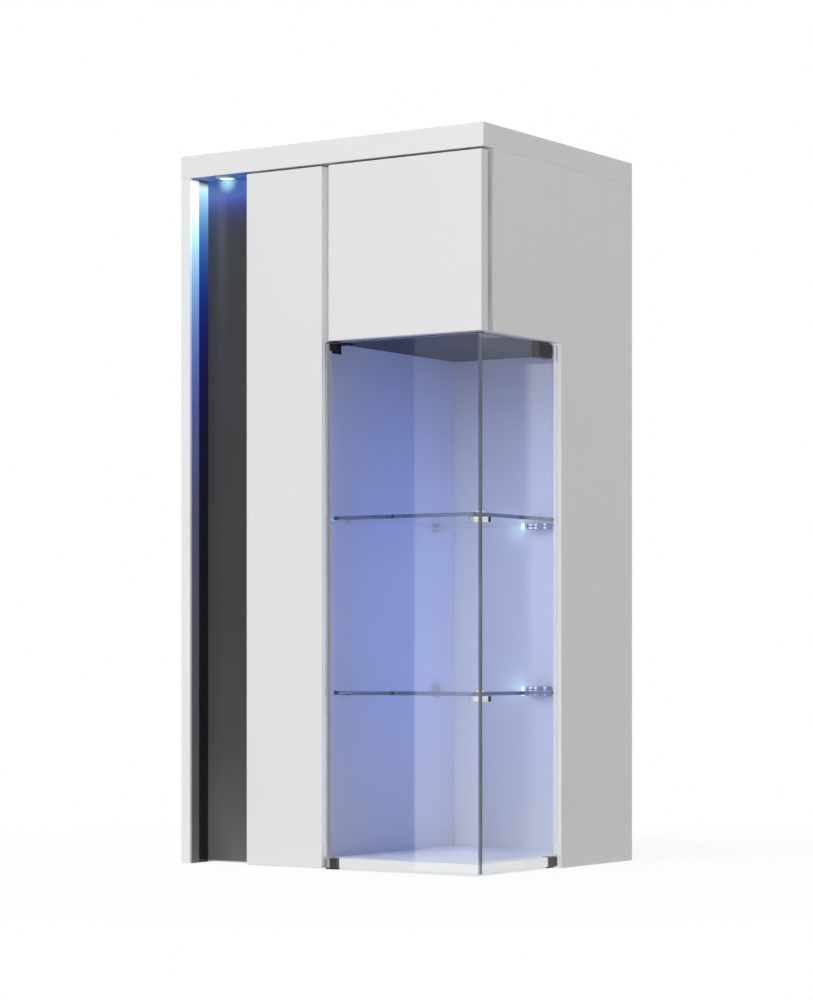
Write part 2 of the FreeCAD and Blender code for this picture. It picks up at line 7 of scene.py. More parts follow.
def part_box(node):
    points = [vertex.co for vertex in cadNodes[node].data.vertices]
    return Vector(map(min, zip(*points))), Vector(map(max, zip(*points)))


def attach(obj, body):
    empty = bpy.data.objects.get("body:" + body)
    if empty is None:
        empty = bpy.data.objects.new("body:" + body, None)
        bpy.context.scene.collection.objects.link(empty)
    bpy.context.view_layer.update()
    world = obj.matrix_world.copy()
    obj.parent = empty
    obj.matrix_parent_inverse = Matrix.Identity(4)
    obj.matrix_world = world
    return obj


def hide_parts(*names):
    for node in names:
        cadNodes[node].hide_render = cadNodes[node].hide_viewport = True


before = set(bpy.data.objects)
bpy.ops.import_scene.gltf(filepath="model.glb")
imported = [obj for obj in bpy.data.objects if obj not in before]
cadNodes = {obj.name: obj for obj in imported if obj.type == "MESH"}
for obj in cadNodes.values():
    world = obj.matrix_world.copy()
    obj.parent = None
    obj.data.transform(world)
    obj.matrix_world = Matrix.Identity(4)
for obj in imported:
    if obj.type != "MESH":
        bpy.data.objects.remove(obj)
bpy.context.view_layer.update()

scene = bpy.context.scene
scene.view_settings.view_transform = "Standard"
scene.cycles.use_denoising = True
print("frame loaded with", len(cadNodes), "nodes")

# Camera, level with the lower shelf and shifted up so that uprights stay upright
cameraView = {
    "place": (2.3344, -3.5312, 0.2911),
    "turn": 33.5,
    "lens": 106.86,
    "lift": 0.1573,
}
cameraData = bpy.data.cameras.new("photoCamera")
cameraData.lens = cameraView["lens"]
cameraData.shift_y = cameraView["lift"]
photoCamera = bpy.data.objects.new("photoCamera", cameraData)
photoCamera.location = cameraView["place"]
photoCamera.rotation_euler = (math.radians(90), 0, math.radians(cameraView["turn"]))
scene.collection.objects.link(photoCamera)
scene.camera = photoCamera
print("camera placed")


# Node helpers
def addNode(tree, kind, inputs=None, **settings):
    node = tree.nodes.new(kind)
    for name, value in settings.items():
        setattr(node, name, value)
    for name, value in (inputs or {}).items():
        if isinstance(value, bpy.types.NodeSocket):
            tree.links.new(value, node.inputs[name])
        else:
            node.inputs[name].default_value = value
    return node


def addMath(tree, operation, first, second=0.0):
    return addNode(tree, "ShaderNodeMath", {0: first, 1: second}, operation=operation).outputs[0]


def mixColours(tree, factor, first, second):
    return addNode(tree, "ShaderNodeMix", {0: factor, 6: first, 7: second}, data_type="RGBA").outputs[2]


def spread(tree, value, low, high, kind="LINEAR", ends=(0.0, 1.0)):
    # Stretches a narrow range of values to the whole of 0 to 1, or to other ends
    return addNode(tree, "ShaderNodeMapRange", {
        "Value": value, "From Min": low, "From Max": high, "To Min": ends[0], "To Max": ends[1],
    }, interpolation_type=kind).outputs[0]


def opaque(colour):
    return (*colour, 1.0)


white = opaque((1.0, 1.0, 1.0))
black = opaque((0.0, 0.0, 0.0))
noiseMiddle = (0.35, 0.65)  # where most values of a noise lie


def newGroup(name, inputs, outputs):
    group = bpy.data.node_groups.new(name, "ShaderNodeTree")
    kinds = {1: "NodeSocketFloat", 3: "NodeSocketVector", 4: "NodeSocketColor"}
    for label, value in inputs.items():
        size = len(value) if isinstance(value, tuple) else 1
        socket = group.interface.new_socket(label, in_out="INPUT", socket_type=kinds[size])
        socket.default_value = value
    for label, size in outputs.items():
        group.interface.new_socket(label, in_out="OUTPUT", socket_type=kinds[size])
    given = group.nodes.new("NodeGroupInput").outputs
    result = group.nodes.new("NodeGroupOutput").inputs
    return group, given, result


def placeGroup(tree, group, inputs):
    node = tree.nodes.new("ShaderNodeGroup")
    node.node_tree = group
    for name, value in inputs.items():
        node.inputs[name].default_value = value
    return node.outputs


# Cloudy tone, fine pores and uneven gloss of a coated or moulded surface
def makeSurfaceSkin():
    group, given, result = newGroup("surfaceSkin", {
        "Colour": (0.8, 0.8, 0.8, 1.0),
        "Shade": (0.76, 0.76, 0.76, 1.0),
        "Cloud Scale": 4.0,
        "Pore Scale": 1200.0,
        "Roughness": 0.4,
        "Spread": 0.1,
    }, {"Colour": 4, "Roughness": 1, "Height": 1})
    place = addNode(group, "ShaderNodeTexCoord").outputs["Object"]
    clouds = addNode(group, "ShaderNodeTexNoise", {
        "Vector": place, "Scale": given["Cloud Scale"], "Detail": 3.0}).outputs[0]
    pores = addNode(group, "ShaderNodeTexNoise", {
        "Vector": place, "Scale": given["Pore Scale"], "Detail": 2.0}).outputs[0]
    cover = spread(group, clouds, *noiseMiddle)
    uneven = addMath(group, "SUBTRACT", addMath(group, "ADD", clouds, pores), 1.0)
    group.links.new(mixColours(group, cover, given["Colour"], given["Shade"]), result["Colour"])
    group.links.new(
        addMath(group, "ADD", given["Roughness"], addMath(group, "MULTIPLY", uneven, given["Spread"])),
        result["Roughness"])
    group.links.new(pores, result["Height"])
    return group


# Thin dust that settles on faces that look up
def makeSettledDust():
    group, given, result = newGroup("settledDust", {"Scale": 60.0, "Amount": 0.05}, {"Mask": 1})
    coordinates = addNode(group, "ShaderNodeTexCoord").outputs
    up = addNode(group, "ShaderNodeSeparateXYZ", {0: coordinates["Normal"]}).outputs["Z"]
    facing = addNode(group, "ShaderNodeClamp", {"Value": up}).outputs[0]
    patches = addNode(group, "ShaderNodeTexNoise", {
        "Vector": coordinates["Object"], "Scale": given["Scale"], "Detail": 5.0}).outputs[0]
    thick = spread(group, patches, 0.4, 0.75)  # bare below, full above
    lying = addMath(group, "MULTIPLY", facing, thick)
    group.links.new(addMath(group, "MULTIPLY", lying, given["Amount"]), result["Mask"])
    return group


# Fine lines of drawn or polished metal
def makeDrawnLines():
    group, given, result = newGroup("drawnLines", {
        "Colour": (0.7, 0.7, 0.7, 1.0),
        "Shade": (0.6, 0.6, 0.6, 1.0),
        "Stretch": (1.0, 1.0, 0.05),
        "Line Scale": 900.0,
        "Roughness": 0.25,
        "Spread": 0.1,
    }, {"Colour": 4, "Roughness": 1, "Height": 1})
    place = addNode(group, "ShaderNodeTexCoord").outputs["Object"]
    pulled = addNode(group, "ShaderNodeVectorMath", {
        0: place, 1: given["Stretch"]}, operation="MULTIPLY").outputs[0]
    lines = addNode(group, "ShaderNodeTexNoise", {
        "Vector": pulled, "Scale": given["Line Scale"], "Detail": 3.0}).outputs[0]
    stain = addNode(group, "ShaderNodeTexNoise", {"Vector": place, "Scale": 45.0, "Detail": 2.0}).outputs[0]
    both = addMath(group, "MULTIPLY", addMath(group, "ADD", lines, stain), 0.5)
    cover = spread(group, both, *noiseMiddle)
    swing = addMath(group, "MULTIPLY", addMath(group, "SUBTRACT", both, 0.5), given["Spread"])
    group.links.new(mixColours(group, cover, given["Colour"], given["Shade"]), result["Colour"])
    group.links.new(addMath(group, "ADD", given["Roughness"], swing), result["Roughness"])
    group.links.new(lines, result["Height"])
    return group


# Nearly clear pane whose cut edges are darker, with painted light on them as emission
def makePaneTint():
    group, given, result = newGroup("paneTint", {
        "Clear": (0.98, 0.99, 0.985, 1.0),
        "Haze": (0.97, 0.985, 0.98, 1.0),
        "Rim": (0.2, 0.28, 0.26, 1.0),
        "Painted Edge Glow": (0.1, 0.1, 0.1, 1.0),
        "Pane Axis": (0.0, 1.0, 0.0),
    }, {"Colour": 4, "Painted Edge Light": 4})
    coordinates = addNode(group, "ShaderNodeTexCoord").outputs
    smears = addNode(group, "ShaderNodeTexNoise", {
        "Vector": coordinates["Object"], "Scale": 9.0, "Detail": 4.0}).outputs[0]
    along = addNode(group, "ShaderNodeVectorMath", {
        0: coordinates["Normal"], 1: given["Pane Axis"]}, operation="DOT_PRODUCT").outputs["Value"]
    flat = addMath(group, "ABSOLUTE", along)
    rim = addMath(group, "LESS_THAN", flat, 0.75)  # cut edges face away from the pane's axis
    body = mixColours(group, spread(group, smears, *noiseMiddle), given["Clear"], given["Haze"])
    group.links.new(mixColours(group, rim, body, given["Rim"]), result["Colour"])
    # painted light on the cut edges
    paintedRimGlow = addMath(group, "MULTIPLY", rim, smears)
    group.links.new(mixColours(group, paintedRimGlow, black, given["Painted Edge Glow"]), result["Painted Edge Light"])
    return group


# Painted light, as emission: it sets in just below the top of a strip and fades downwards, red first and blue
# last
def makePaintedGlowFade():
    group, given, result = newGroup("paintedGlowFade", {
        "Top": 0.968,
        "Start": (1.0, 1.0, 1.0),
        "Reach": (0.06, 0.07, 0.15),
        "Limit": (1.0, 1.0, 1.0),
        "Onset": 0.001,
    }, {"Colour": 4})
    place = addNode(group, "ShaderNodeTexCoord").outputs["Object"]
    height = addNode(group, "ShaderNodeSeparateXYZ", {0: place}).outputs["Z"]
    below = addMath(group, "SUBTRACT", height, given["Top"])
    start = addNode(group, "ShaderNodeSeparateXYZ", {0: given["Start"]}).outputs
    reach = addNode(group, "ShaderNodeSeparateXYZ", {0: given["Reach"]}).outputs
    limit = addNode(group, "ShaderNodeSeparateXYZ", {0: given["Limit"]}).outputs
    full = addMath(group, "MULTIPLY", given["Onset"], -1.0)
    begun = spread(group, below, 0.0, full, "SMOOTHSTEP")
    channels = {}
    for name, axis in (("Red", "X"), ("Green", "Y"), ("Blue", "Z")):
        fade = addMath(group, "EXPONENT", addMath(group, "DIVIDE", below, reach[axis]))
        level = addMath(group, "MINIMUM", addMath(group, "MULTIPLY", fade, start[axis]), limit[axis])
        channels[name] = addMath(group, "MULTIPLY", level, begun)
    colour = addNode(group, "ShaderNodeCombineColor", channels).outputs[0]
    group.links.new(colour, result["Colour"])
    return group


surfaceSkin = makeSurfaceSkin()
settledDust = makeSettledDust()
drawnLines = makeDrawnLines()
paneTint = makePaneTint()
paintedGlowFade = makePaintedGlowFade()


def newMaterial(name):
    material = bpy.data.materials.new(name)
    material.use_nodes = True
    tree = material.node_tree
    tree.nodes.clear()
    shader = tree.nodes.new("ShaderNodeBsdfPrincipled")
    addNode(tree, "ShaderNodeOutputMaterial", {"Surface": shader.outputs[0]}, name="surface")
    return material, tree, shader


def setSurface(tree, result):
    tree.links.new(result, tree.nodes["surface"].inputs["Surface"])


def addBump(tree, shader, height, strength, depth=0.0002):
    bump = addNode(tree, "ShaderNodeBump", {"Height": height, "Strength": strength, "Distance": depth})
    tree.links.new(bump.outputs[0], shader.inputs["Normal"])


def paintOver(tree, shader, mask, colour):
    # Lays a colour over the one that already feeds the shader
    under = shader.inputs["Base Color"].links[0].from_socket
    tree.links.new(mixColours(tree, mask, under, colour), shader.inputs["Base Color"])


def addGlow(tree, shader, colour, strength=1.0):
    tree.links.new(colour, shader.inputs["Emission Color"])
    shader.inputs["Emission Strength"].default_value = strength


def nearness(tree, look):
    # 0 in the hot middle of a light, 1 where it has cooled
    place = addNode(tree, "ShaderNodeTexCoord").outputs["Object"]
    away = addNode(tree, "ShaderNodeVectorMath", {0: place, 1: look["centre"]}, operation="DISTANCE")
    return spread(tree, away.outputs["Value"], look["hot"], look["cool"], "SMOOTHSTEP")


def makeCoated(name, look):
    # A board, lacquer or moulded surface
    material, tree, shader = newMaterial(name)
    skin = placeGroup(tree, surfaceSkin, {
        "Colour": opaque(look["colour"]),
        "Shade": opaque(look["shade"]),
        "Cloud Scale": look["clouds"],
        "Pore Scale": look["pores"],
        "Roughness": look["roughness"],
        "Spread": look["spread"],
    })
    dust = placeGroup(tree, settledDust, {"Amount": look["dust"]})
    dusted = mixColours(tree, dust["Mask"], skin["Colour"], opaque(look["dustColour"]))
    tree.links.new(dusted, shader.inputs["Base Color"])
    tree.links.new(skin["Roughness"], shader.inputs["Roughness"])
    shader.inputs["Specular IOR Level"].default_value = look.get("sheen", 0.5)
    addBump(tree, shader, skin["Height"], look["bump"])
    return material, tree, shader


def makeMetal(name, look):
    material, tree, shader = newMaterial(name)
    lines = placeGroup(tree, drawnLines, {
        "Colour": opaque(look["colour"]),
        "Shade": opaque(look["shade"]),
        "Stretch": look["stretch"],
        "Line Scale": look["lines"],
        "Roughness": look["roughness"],
        "Spread": look["spread"],
    })
    tree.links.new(lines["Colour"], shader.inputs["Base Color"])
    tree.links.new(lines["Roughness"], shader.inputs["Roughness"])
    shader.inputs["Metallic"].default_value = 1.0
    addBump(tree, shader, lines["Height"], look["bump"], depth=0.0001)
    return material


def makeGlass(name, look, pane):
    # Lamps and soft light pass straight through, so that the inside is lit
    material, tree, shader = newMaterial(name)
    tint = placeGroup(tree, paneTint, {
        "Clear": opaque(look["clear"]),
        "Haze": opaque(look["haze"]),
        "Rim": opaque(look["rim"]),
        "Painted Edge Glow": opaque(pane["paintedEdgeGlow"]),
        "Pane Axis": pane["axis"],
    })
    tree.links.new(tint["Colour"], shader.inputs["Base Color"])
    # painted light on the pane's cut edges, as emission
    addGlow(tree, shader, tint["Painted Edge Light"])
    shader.inputs["Transmission Weight"].default_value = 1.0
    shader.inputs["Roughness"].default_value = 0.0
    shader.inputs["IOR"].default_value = look["ior"]
    path = addNode(tree, "ShaderNodeLightPath").outputs
    passing = addMath(tree, "MAXIMUM", path["Is Shadow Ray"], path["Is Diffuse Ray"])
    openWay = addNode(tree, "ShaderNodeBsdfTransparent", {"Color": opaque(look["passed"])}).outputs[0]
    setSurface(tree, addNode(tree, "ShaderNodeMixShader", {
        0: passing, 1: shader.outputs[0], 2: openWay}).outputs[0])
    return material


# Looks of the coated boards and mouldings
coatedLooks = {
    "whiteBoard": {
        "colour": (0.8, 0.8, 0.8), "shade": (0.787, 0.788, 0.79), "clouds": 4.0, "pores": 1500.0,
        "roughness": 0.45, "spread": 0.08, "bump": 0.05, "dust": 0.06, "dustColour": (0.62, 0.61, 0.59),
    },
    # Top panel's board: a darker copy of the white board, painted shade
    "linedShadedBoard": {
        "colour": (0.768, 0.768, 0.768), "shade": (0.756, 0.757, 0.759), "clouds": 4.0, "pores": 1500.0,
        "roughness": 0.45, "spread": 0.08, "bump": 0.05, "dust": 0.06, "dustColour": (0.62, 0.61, 0.59),
    },
    "whiteFront": {
        "colour": (0.745, 0.744, 0.755), "shade": (0.734, 0.734, 0.744), "clouds": 3.0, "pores": 700.0,
        "roughness": 0.34, "spread": 0.06, "bump": 0.03, "dust": 0.05, "dustColour": (0.6, 0.59, 0.57),
    },
    "anthraciteBoard": {
        "colour": (0.036, 0.036, 0.038), "shade": (0.031, 0.031, 0.033), "clouds": 5.0, "pores": 1100.0,
        "roughness": 0.42, "spread": 0.1, "bump": 0.08, "dust": 0.1, "dustColour": (0.2, 0.2, 0.2),
    },
    # Dark panel of the niche; the niche lamp's light on it is painted as emission below
    "nichePanel": {
        "colour": (0.056, 0.056, 0.057), "shade": (0.05, 0.05, 0.052), "clouds": 5.0, "pores": 1100.0,
        "roughness": 0.24, "spread": 0.1, "bump": 0.08, "dust": 0.1, "dustColour": (0.2, 0.2, 0.2),
    },
    # Grey liner; the niche lamp's light on it is painted as emission below
    "paintedGlowLiner": {
        "colour": (0.33, 0.33, 0.335), "shade": (0.31, 0.31, 0.316), "clouds": 8.0, "pores": 1300.0,
        "roughness": 0.4, "spread": 0.1, "bump": 0.04, "dust": 0.05, "dustColour": (0.4, 0.4, 0.4),
    },
    # Black trim; the niche lamp's light on it is painted as emission below
    "blackTrim": {
        "colour": (0.021, 0.022, 0.022), "shade": (0.017, 0.018, 0.018), "clouds": 6.0, "pores": 500.0,
        "roughness": 0.16, "spread": 0.08, "bump": 0.02, "dust": 0.05, "dustColour": (0.15, 0.15, 0.15),
    },
    "blackFitting": {
        "colour": (0.014, 0.014, 0.016), "shade": (0.01, 0.01, 0.012), "clouds": 60.0, "pores": 2200.0,
        "roughness": 0.5, "spread": 0.15, "bump": 0.15, "dust": 0.1, "dustColour": (0.2, 0.2, 0.2),
        "sheen": 0.2,
    },
    "whitePlastic": {
        "colour": (0.78, 0.78, 0.77), "shade": (0.75, 0.75, 0.735), "clouds": 90.0, "pores": 2400.0,
        "roughness": 0.4, "spread": 0.12, "bump": 0.08, "dust": 0.05, "dustColour": (0.6, 0.59, 0.57),
    },
    "lightHousing": {
        "colour": (0.56, 0.6, 0.66), "shade": (0.5, 0.54, 0.6), "clouds": 80.0, "pores": 2000.0,
        "roughness": 0.3, "spread": 0.12, "bump": 0.06, "dust": 0.05, "dustColour": (0.6, 0.6, 0.6),
    },
    "clipHousing": {
        "colour": (0.16, 0.19, 0.32), "shade": (0.13, 0.155, 0.27), "clouds": 80.0, "pores": 2000.0,
        "roughness": 0.3, "spread": 0.12, "bump": 0.06, "dust": 0.05, "dustColour": (0.4, 0.4, 0.45),
    },
    "driverCase": {
        "colour": (0.05, 0.05, 0.052), "shade": (0.04, 0.04, 0.042), "clouds": 40.0, "pores": 1600.0,
        "roughness": 0.55, "spread": 0.12, "bump": 0.2, "dust": 0.2, "dustColour": (0.25, 0.25, 0.24),
    },
}
coatedLooks["hardboard"] = coatedLooks["whiteBoard"]  # its bare side is added below
# Looks of the metals
metalLooks = {
    "chrome": {
        "colour": (0.82, 0.83, 0.84), "shade": (0.74, 0.75, 0.77), "stretch": (1.0, 1.0, 0.2), "lines": 500.0,
        "roughness": 0.07, "spread": 0.06, "bump": 0.01,
    },
    "nickelSteel": {
        "colour": (0.6, 0.585, 0.555), "shade": (0.52, 0.505, 0.48), "stretch": (1.0, 0.06, 1.0),
        "lines": 1400.0, "roughness": 0.27, "spread": 0.15, "bump": 0.05,
    },
    "brightSteel": {
        "colour": (0.68, 0.68, 0.69), "shade": (0.58, 0.58, 0.6), "stretch": (1.0, 1.0, 0.1), "lines": 1800.0,
        "roughness": 0.2, "spread": 0.12, "bump": 0.04,
    },
    "restMetal": {
        "colour": (0.78, 0.8, 0.84), "shade": (0.7, 0.72, 0.77), "stretch": (0.1, 1.0, 1.0), "lines": 1300.0,
        "roughness": 0.34, "spread": 0.15, "bump": 0.05,
    },
}
glassLook = {
    "clear": (0.985, 0.99, 0.99),
    "haze": (0.978, 0.985, 0.986),
    "rim": (0.24, 0.29, 0.37),
    "passed": (0.96, 0.97, 0.975),
    "ior": 1.5,
}
# The axis across each pane, and the painted light, as emission, on its edges
glassPanes = {
    "doorGlass": {"axis": (0.0, 1.0, 0.0), "paintedEdgeGlow": (0.2, 0.23, 0.3)},
    "sideGlass": {"axis": (1.0, 0.0, 0.0), "paintedEdgeGlow": (0.14, 0.16, 0.24)},
    "shelfGlass": {"axis": (0.0, 0.0, 1.0), "paintedEdgeGlow": (0.012, 0.018, 0.05)},
}
# Painted light of the niche lamp, as emission on its liner, trim and panel: strength, reach in metres and
# most, for red, green and blue, and how far below the top the light has set in
paintedGlowLooks = {
    "paintedGlowLiner": {"start": (2.05, 2.8, 1.9), "reach": (0.06, 0.073, 0.15), "limit": (0.93, 0.97, 1.0),
                 "onset": 0.006},
    "blackTrim": {"start": (0.97, 1.35, 1.28), "reach": (0.028, 0.04, 0.085), "limit": (0.8, 0.95, 1.05),
                  "onset": 0.012},
    "nichePanel": {"start": (0.5, 0.73, 2.7), "reach": (0.009, 0.011, 0.014), "limit": (0.035, 0.09, 0.37),
                   "onset": 0.001},
}
# Painted spot of light on the niche's panel under its lamp, brightest at its centre
paintedNicheSpot = {"centre": (-0.2005, -0.161, 0.966), "hot": 0.001, "cool": 0.02, "colour": (0.42, 0.78, 0.93)}

finishes = {}
coats = {}  # tree and shader of each coated finish, for what is added to it
for name, look in coatedLooks.items():
    finishes[name], *coats[name] = makeCoated(name, look)
for name, look in metalLooks.items():
    finishes[name] = makeMetal(name, look)
for name, pane in glassPanes.items():
    finishes[name] = makeGlass(name, glassLook, pane)

# Painted glow of the niche as emission, with a painted spot of light on its panel under the lamp
for name, look in paintedGlowLooks.items():
    tree, shader = coats[name]
    glow = placeGroup(tree, paintedGlowFade, {
        "Start": look["start"],
        "Reach": look["reach"],
        "Limit": look["limit"],
        "Onset": look["onset"],
    })["Colour"]
    # the panel also gets a painted spot of light under the lamp
    if name == "nichePanel":
        glow = mixColours(tree, nearness(tree, paintedNicheSpot), opaque(paintedNicheSpot["colour"]), glow)
    addGlow(tree, shader, glow)

# Hardboard, white in front, bare and brown on the side to the wall
hardboardLook = {"bare": (0.24, 0.15, 0.085), "fibre": (0.3, 0.2, 0.12), "grain": 700.0, "split": 0.1405}
tree, shader = coats["hardboard"]
place = addNode(tree, "ShaderNodeTexCoord").outputs["Object"]
depth = addNode(tree, "ShaderNodeSeparateXYZ", {0: place}).outputs["Y"]
behind = addMath(tree, "GREATER_THAN", depth, hardboardLook["split"])
fibres = addNode(tree, "ShaderNodeTexNoise", {
    "Vector": place, "Scale": hardboardLook["grain"], "Detail": 4.0}).outputs[0]
bare = mixColours(tree, fibres, opaque(hardboardLook["bare"]), opaque(hardboardLook["fibre"]))
paintOver(tree, shader, behind, bare)

# Top panel with a dark lining on its underside over the niche, where the light hangs, and painted blue light
# from that lamp on the lining
liningAndPaintedGlow = {
    "colour": (0.04, 0.045, 0.06), "glow": (0.04, 0.105, 0.31),
    "right": -0.134, "behind": -0.155, "facing": -0.9,
}
tree, shader = coats["linedShadedBoard"]
coordinates = addNode(tree, "ShaderNodeTexCoord").outputs
place = addNode(tree, "ShaderNodeSeparateXYZ", {0: coordinates["Object"]}).outputs
up = addNode(tree, "ShaderNodeSeparateXYZ", {0: coordinates["Normal"]}).outputs["Z"]
lined = addMath(tree, "LESS_THAN", up, liningAndPaintedGlow["facing"])
lined = addMath(tree, "MULTIPLY", lined, addMath(tree, "LESS_THAN", place["X"], liningAndPaintedGlow["right"]))
lined = addMath(tree, "MULTIPLY", lined, addMath(tree, "LESS_THAN", place["Y"], liningAndPaintedGlow["behind"]))
paintOver(tree, shader, lined, opaque(liningAndPaintedGlow["colour"]))
# painted blue light of the niche lamp on the lining, as emission
addGlow(tree, shader, mixColours(tree, lined, black, opaque(liningAndPaintedGlow["glow"])))

# Turned beech of the dowels
beechLook = {
    "pale": (0.62, 0.44, 0.28), "dark": (0.48, 0.32, 0.19), "grain": 260.0, "stretch": (0.1, 1.0, 1.0),
    "roughness": 0.6, "bump": 0.2,
}
finishes["beech"], tree, shader = newMaterial("beech")
place = addNode(tree, "ShaderNodeTexCoord").outputs["Object"]
drawn = addNode(tree, "ShaderNodeMapping", {"Vector": place, "Scale": beechLook["stretch"]}).outputs[0]
grain = addNode(tree, "ShaderNodeTexNoise", {
    "Vector": drawn, "Scale": beechLook["grain"], "Detail": 5.0}).outputs[0]
tree.links.new(mixColours(tree, grain, opaque(beechLook["pale"]), opaque(beechLook["dark"])),
               shader.inputs["Base Color"])
shader.inputs["Roughness"].default_value = beechLook["roughness"]
addBump(tree, shader, grain, beechLook["bump"])

# Lit lenses: the niche light, the ends of the shelf lights and the small cells along them
lensSurface = {"roughness": 0.25, "bump": 0.1}
lensLooks = {
    "nicheLens": {
        "centre": (-0.187, -0.181, 0.965), "hot": 0.004, "cool": 0.011, "ribs": 300.0, "strength": 1.3,
        "bright": (0.85, 1.0, 1.0), "dim": (0.25, 0.6, 1.0),
        "clear": (0.7, 0.8, 0.9), "frost": (0.6, 0.72, 0.85),
    },
    "shelfLens": {
        "centre": (0.115, 0.128, 0.3625), "hot": 0.1, "cool": 0.14, "ribs": 260.0, "strength": 1.1,
        "bright": (0.5, 0.82, 1.0), "dim": (0.45, 0.76, 1.0),
        "clear": (0.7, 0.8, 0.9), "frost": (0.6, 0.72, 0.85),
    },
    "lightCells": {
        "centre": (0.115, 0.128, 0.3625), "hot": 0.119, "cool": 0.126, "ribs": 180.0, "strength": 0.36,
        "bright": (0.6, 0.78, 1.0), "dim": (0.12, 0.25, 0.62),
        "clear": (0.7, 0.8, 0.9), "frost": (0.5, 0.6, 0.8),
    },
}


def makeLens(name, look):
    # Brightest round a point and crossed by faint ribs
    material, tree, shader = newMaterial(name)
    place = addNode(tree, "ShaderNodeTexCoord").outputs["Object"]
    ribs = addNode(tree, "ShaderNodeTexWave", {"Vector": place, "Scale": look["ribs"]}).outputs[1]
    lit = mixColours(tree, nearness(tree, look), opaque(look["bright"]), opaque(look["dim"]))
    addGlow(tree, shader, lit, look["strength"])
    tree.links.new(mixColours(tree, ribs, opaque(look["clear"]), opaque(look["frost"])),
                   shader.inputs["Base Color"])
    shader.inputs["Roughness"].default_value = lensSurface["roughness"]
    addBump(tree, shader, ribs, lensSurface["bump"])
    return material


for name, look in lensLooks.items():
    finishes[name] = makeLens(name, look)
print("finishes made:", len(finishes))

# Finish of each CAD node that is shown as it is
nodeFinishes = {
    "linedShadedBoard": ("top_panel",),
    "whiteBoard": (
        "left_side_panel", "rear_side_panel", "upper_side_panel", "display_partition",
        "niche_partition", "cupboard_floor", "light_bay_floor", "display_floor", "upper_wall_rail",
        "lower_wall_rail", "lower_cupboard_shelf", "upper_cupboard_shelf",
    ),
    "whiteFront": ("narrow_door", "upper_door"),
    "hardboard": ("back_panel",),
    "anthraciteBoard": ("display_ceiling",),
    "nichePanel": ("niche_back_panel",),
    "paintedGlowLiner": ("niche_cheek_liner",),
    "blackTrim": ("niche_corner_trim",),
    "doorGlass": ("glass_door",),
    "sideGlass": ("side_pane",),
    "shelfGlass": ("lower_glass_shelf", "upper_glass_shelf"),
    "driverCase": ("light_driver",),
    "beech": ("carcass_dowels",),
}
for finish, names in nodeFinishes.items():
    for name in names:
        slots = cadNodes[name].material_slots
        for slot in slots:
            slot.link = "OBJECT"
            slot.material = finishes[finish]
print("boards, doors and panes finished")

# Mesh helpers, sizes in millimetres
metre = 1000
axisTurns = {
    "x": Matrix.Rotation(math.radians(90), 4, "Y"),
    "-x": Matrix.Rotation(math.radians(-90), 4, "Y"),
    "y": Matrix.Rotation(math.radians(-90), 4, "X"),
    "-y": Matrix.Rotation(math.radians(90), 4, "X"),
    "z": Matrix.Identity(4),
    "-z": Matrix.Rotation(math.radians(180), 4, "X"),
}


def mm(*values):
    return Vector(values) / metre


def addPart(bm, part, place):
    part.transform(place)
    mesh = bpy.data.meshes.new("part")
    part.to_mesh(mesh)
    part.free()
    bm.from_mesh(mesh)
    bpy.data.meshes.remove(mesh)


def addTurned(bm, profile, centre, axis="z", steps=32):
    # Spins a profile of (radius, height), given from the axis back to the axis, into a closed body
    part = bmesh.new()
    points = [part.verts.new(mm(radius, 0, height)) for radius, height in profile]
    lines = [part.edges.new(pair) for pair in zip(points, points[1:])]
    bmesh.ops.spin(part, geom=points + lines, cent=(0, 0, 0), axis=(0, 0, 1), angle=math.tau, steps=steps,
                   use_merge=True)
    bmesh.ops.remove_doubles(part, verts=part.verts, dist=1e-7)
    bmesh.ops.recalc_face_normals(part, faces=part.faces)
    addPart(bm, part, Matrix.Translation(mm(*centre)) @ axisTurns[axis])


def addBlock(bm, low, high, edge=0.5, segments=3):
    # A block with rounded edges between two corners
    part = bmesh.new()
    corners = bmesh.ops.create_cube(part, size=1)["verts"]
    bmesh.ops.scale(part, vec=mm(*high) - mm(*low), verts=corners)
    bmesh.ops.bevel(part, geom=part.edges[:], offset=edge / metre, segments=segments, profile=0.5,
                    affect="EDGES", material=-1)
    addPart(bm, part, Matrix.Translation((mm(*low) + mm(*high)) / 2))


# Rings of a screw head: radius, level, and whether the ring is the cross cut into the top
screwRings = ((1.0, 0.0, False), (1.0, 0.45, False), (0.8, 1.0, False), (0.62, 1.0, True), (0.5, 0.35, True))
crossWaist = 0.35  # how far out the corners between the arms of the cross lie


def addScrewHead(bm, seat, axis, radius, height):
    part = bmesh.new()
    loops = []
    for share, level, isCross in screwRings:
        ring = bmesh.ops.create_circle(part, segments=12, radius=share * radius / metre)["verts"]
        for index, vert in enumerate(ring):
            if isCross and index % 3 == 2:  # inner corners between the arms of the cross
                vert.co *= crossWaist
            vert.co.z = level * height / metre
        loops.append([edge for edge in part.edges if all(vert in ring for vert in edge.verts)])
    for lower, upper in zip(loops, loops[1:]):
        bmesh.ops.bridge_loops(part, edges=lower + upper)
    bmesh.ops.holes_fill(part, edges=part.edges[:], sides=0)
    bmesh.ops.recalc_face_normals(part, faces=part.faces)
    addPart(bm, part, Matrix.Translation(mm(*seat)) @ axisTurns[axis])


# What counts as a square edge: two flat faces, square to the axes and not tiny, that meet at a clear angle
squareEdge = {"merge": 1e-6, "level": 0.01, "flat": 0.9999, "area": 4e-6, "angle": 1.0}


def isFlat(face):
    return max(map(abs, face.normal)) > squareEdge["flat"] and face.calc_area() > squareEdge["area"]


